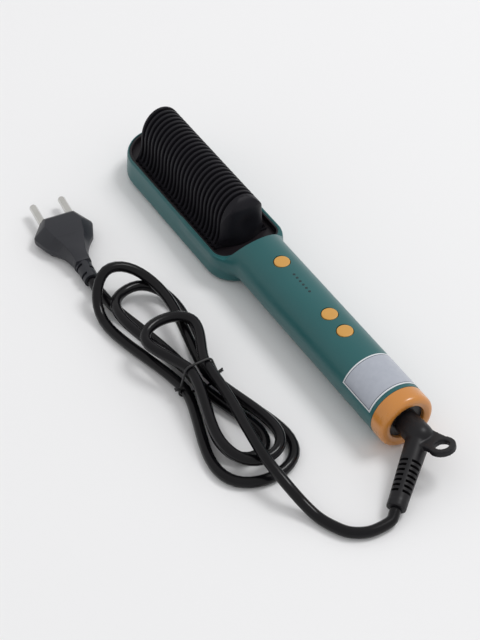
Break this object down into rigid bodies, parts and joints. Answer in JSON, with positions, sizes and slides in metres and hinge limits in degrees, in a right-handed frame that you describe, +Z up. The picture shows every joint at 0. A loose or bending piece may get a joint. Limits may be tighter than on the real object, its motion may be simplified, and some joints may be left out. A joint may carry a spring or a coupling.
{
  "type": "hot comb",
  "caption": "Corded hair-straightening comb with a round handle, three press buttons, a finned comb in an open tray, a cord swivel with hang loop, a tied cord and a two-pin plug.",
  "frame": {"origin": "middle of the head's flat underside, in the handle's mid plane, at the level it stands on", "axes": "+X along the handle towards the head, +Z up through the comb, +Y towards the side where the tied cord lies"},
  "size_m": [0.3457, 0.13, 0.0515],
  "materials": {
    "green_shell": "soft-touch satin",
    "amber_trim": "satin metallic paint",
    "silver_label": "satin foil",
    "black_comb": "fine matte",
    "dark_tray": "matte",
    "coated_bar": "black ceramic coat",
    "ceramic": "ceramic",
    "copper_strip": "bare",
    "insulation": "amber film",
    "bare_aluminium": "bare",
    "heatproof_resin": "moulded",
    "plated_steel": "zinc plated",
    "plunger_grey": "moulded",
    "smoked_acrylic": "smoked",
    "board_green": "solder mask",
    "lamp_ivory": "clear",
    "capacitor_yellow": "moulded",
    "black_resin": "moulded",
    "varistor_blue": "dipped",
    "bearing_black": "satin",
    "cradle_ivory": "moulded",
    "carbon": "sintered",
    "lead_brown": "insulated",
    "lead_red": "insulated",
    "relief_black": "satin moulded",
    "cord_black": "satin",
    "tie_black": "plastic coated wire",
    "plug_black": "satin moulded",
    "plated_pin": "nickel plated"
  },
  "bodies": {
    "handle": {"upper_housing": "green_shell", "lower_housing": "green_shell", "end_cap": "amber_trim", "rating_label": "silver_label", "comb_guard": "black_comb", "comb_tray": "dark_tray", "heater_bar": "coated_bar", "ptc_elements": "ceramic", "electrode_strips": "copper_strip", "insulating_film": "insulation", "clamp_wedge": "bare_aluminium", "heater_bracket": "heatproof_resin", "temperature_sensor": "ceramic", "thermal_fuse": "plated_steel", "tray_screws": "plated_steel", "light_pipe": "smoked_acrylic", "circuit_board": "board_green", "tact_switches": "plunger_grey", "indicator_leds": "lamp_ivory", "film_capacitor": "capacitor_yellow", "triac": "black_resin", "controller_chip": "black_resin", "varistor": "varistor_blue", "board_screws": "plated_steel", "housing_screws": "plated_steel", "swivel_bearing": "bearing_black", "brush_block": "cradle_ivory", "contact_brushes": "carbon", "mains_leads": "lead_brown", "heater_leads": "lead_red", "power_cord": "cord_black", "cord_hank": "cord_black", "twist_tie": "tie_black", "plug_body": "plug_black", "plug_pins": "plated_pin"},
    "power_key": {"power_button": "amber_trim", "power_plunger": "plunger_grey"},
    "plus_key": {"plus_button": "amber_trim", "plus_plunger": "plunger_grey"},
    "minus_key": {"minus_button": "amber_trim", "minus_plunger": "plunger_grey"},
    "swivel": {"swivel_hub": "bearing_black", "slip_rings": "copper_strip", "cord_relief": "relief_black"}
  },
  "joints": [
    {"name": "power_press", "type": "slide", "parent": "handle", "child": "power_key", "axis": [0, 0, -1], "range_m": [0, 0.0006], "stiffness_N_per_m": 1500, "springref_m": -0.0006},
    {"name": "plus_press", "type": "slide", "parent": "handle", "child": "plus_key", "axis": [0, 0, -1], "range_m": [0, 0.0006], "stiffness_N_per_m": 1500, "springref_m": -0.0006},
    {"name": "minus_press", "type": "slide", "parent": "handle", "child": "minus_key", "axis": [0, 0, -1], "range_m": [0, 0.0006], "stiffness_N_per_m": 1500, "springref_m": -0.0006},
    {"name": "cord_swivel", "type": "hinge", "parent": "handle", "child": "swivel", "pos_m": [-0.2189, 0, 0.0175], "axis": [1, 0, 0], "continuous": true}
  ]
}
